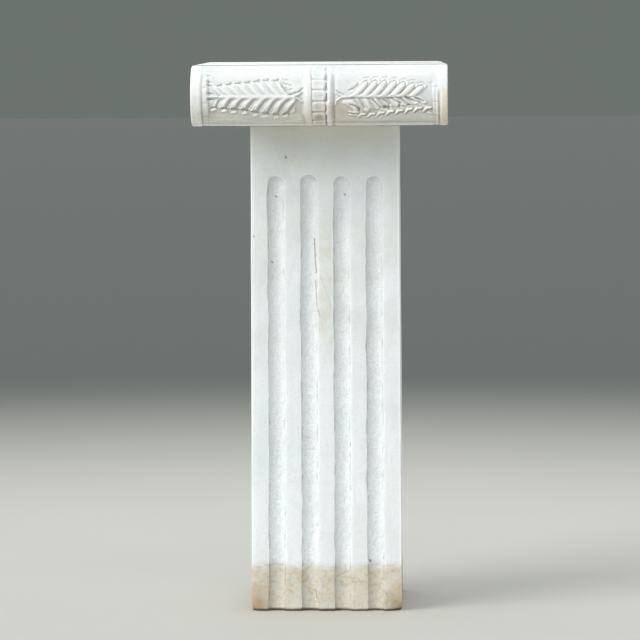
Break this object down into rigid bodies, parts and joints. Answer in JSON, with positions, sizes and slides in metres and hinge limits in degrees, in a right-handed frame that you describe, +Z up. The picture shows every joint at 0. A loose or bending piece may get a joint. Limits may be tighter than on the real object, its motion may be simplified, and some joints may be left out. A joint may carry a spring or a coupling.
{
  "type": "marble pedestal",
  "caption": "Square fluted marble shaft under an Ionic capital with carved rolls, beaded belts, long leaves and a thin flat abacus to stand a work on.",
  "frame": {"origin": "middle of the underside", "axes": "+Z up, X along the carved rolls, -Y towards the front roll that the picture shows"},
  "size_m": [0.415, 0.5488, 0.914],
  "materials": {
    "shaft_marble": "honed white marble with cool grey clouding, pecked flutes, cream veins and a tan tide line at the foot",
    "capital_marble": "carved white marble, worn smooth, beige with dirt in the hollows and the drilled holes"
  },
  "bodies": {
    "root": {"shaft": "shaft_marble", "capital": "capital_marble"}
  },
  "joints": []
}
